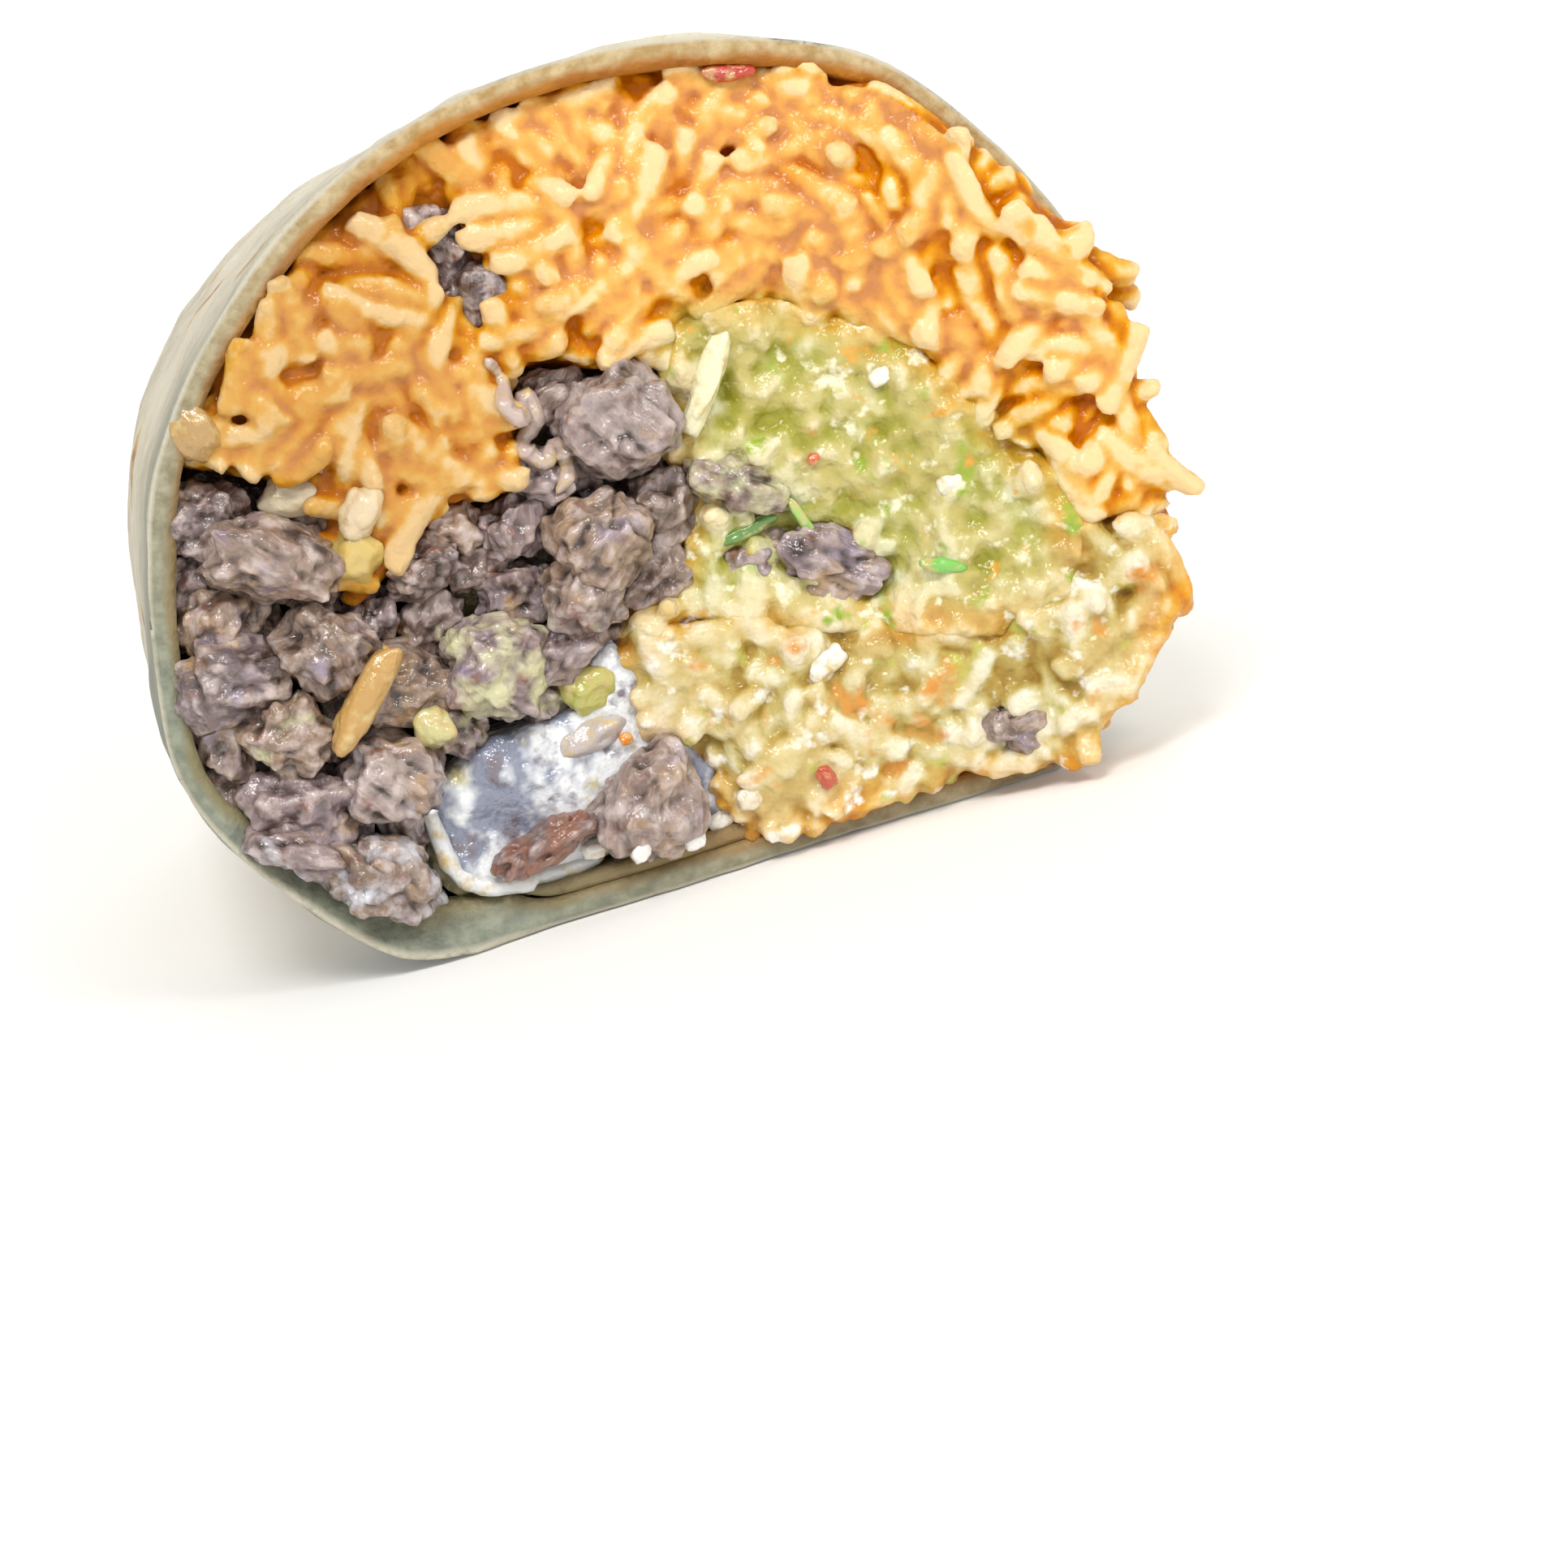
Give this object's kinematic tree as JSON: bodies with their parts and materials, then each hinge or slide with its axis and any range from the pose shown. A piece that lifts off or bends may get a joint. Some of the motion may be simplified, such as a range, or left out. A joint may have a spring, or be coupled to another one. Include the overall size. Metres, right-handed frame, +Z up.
{
  "type": "burrito half",
  "caption": "Cut half of a rolled flour tortilla with one tucked end, showing orange rice, grilled steak, guacamole and soured cream at the cut.",
  "frame": {"origin": "middle of the flattened underside, which rests on z = 0, halfway between the cut face and the tucked end", "axes": "+Z up, Y along the roll with the cut face towards -Y and the tucked end towards +Y, +X to the right seen from the cut face"},
  "size_m": [0.0831, 0.1052, 0.0664],
  "materials": {
    "tortilla": "dry and floury, with toasted spots",
    "rice": "moist",
    "dressed_rice": "moist",
    "guacamole": "wet",
    "steak": "moist",
    "soured_cream": "wet"
  },
  "bodies": {
    "root": {"tortilla": "tortilla", "rice": "rice", "dressed_rice": "dressed_rice", "guacamole": "guacamole", "guacamole_steak": "steak", "side_steak": "steak", "middle_steak": "steak", "soured_cream": "soured_cream", "cream_steak": "steak", "cream_steak_sliver": "steak"}
  },
  "joints": []
}
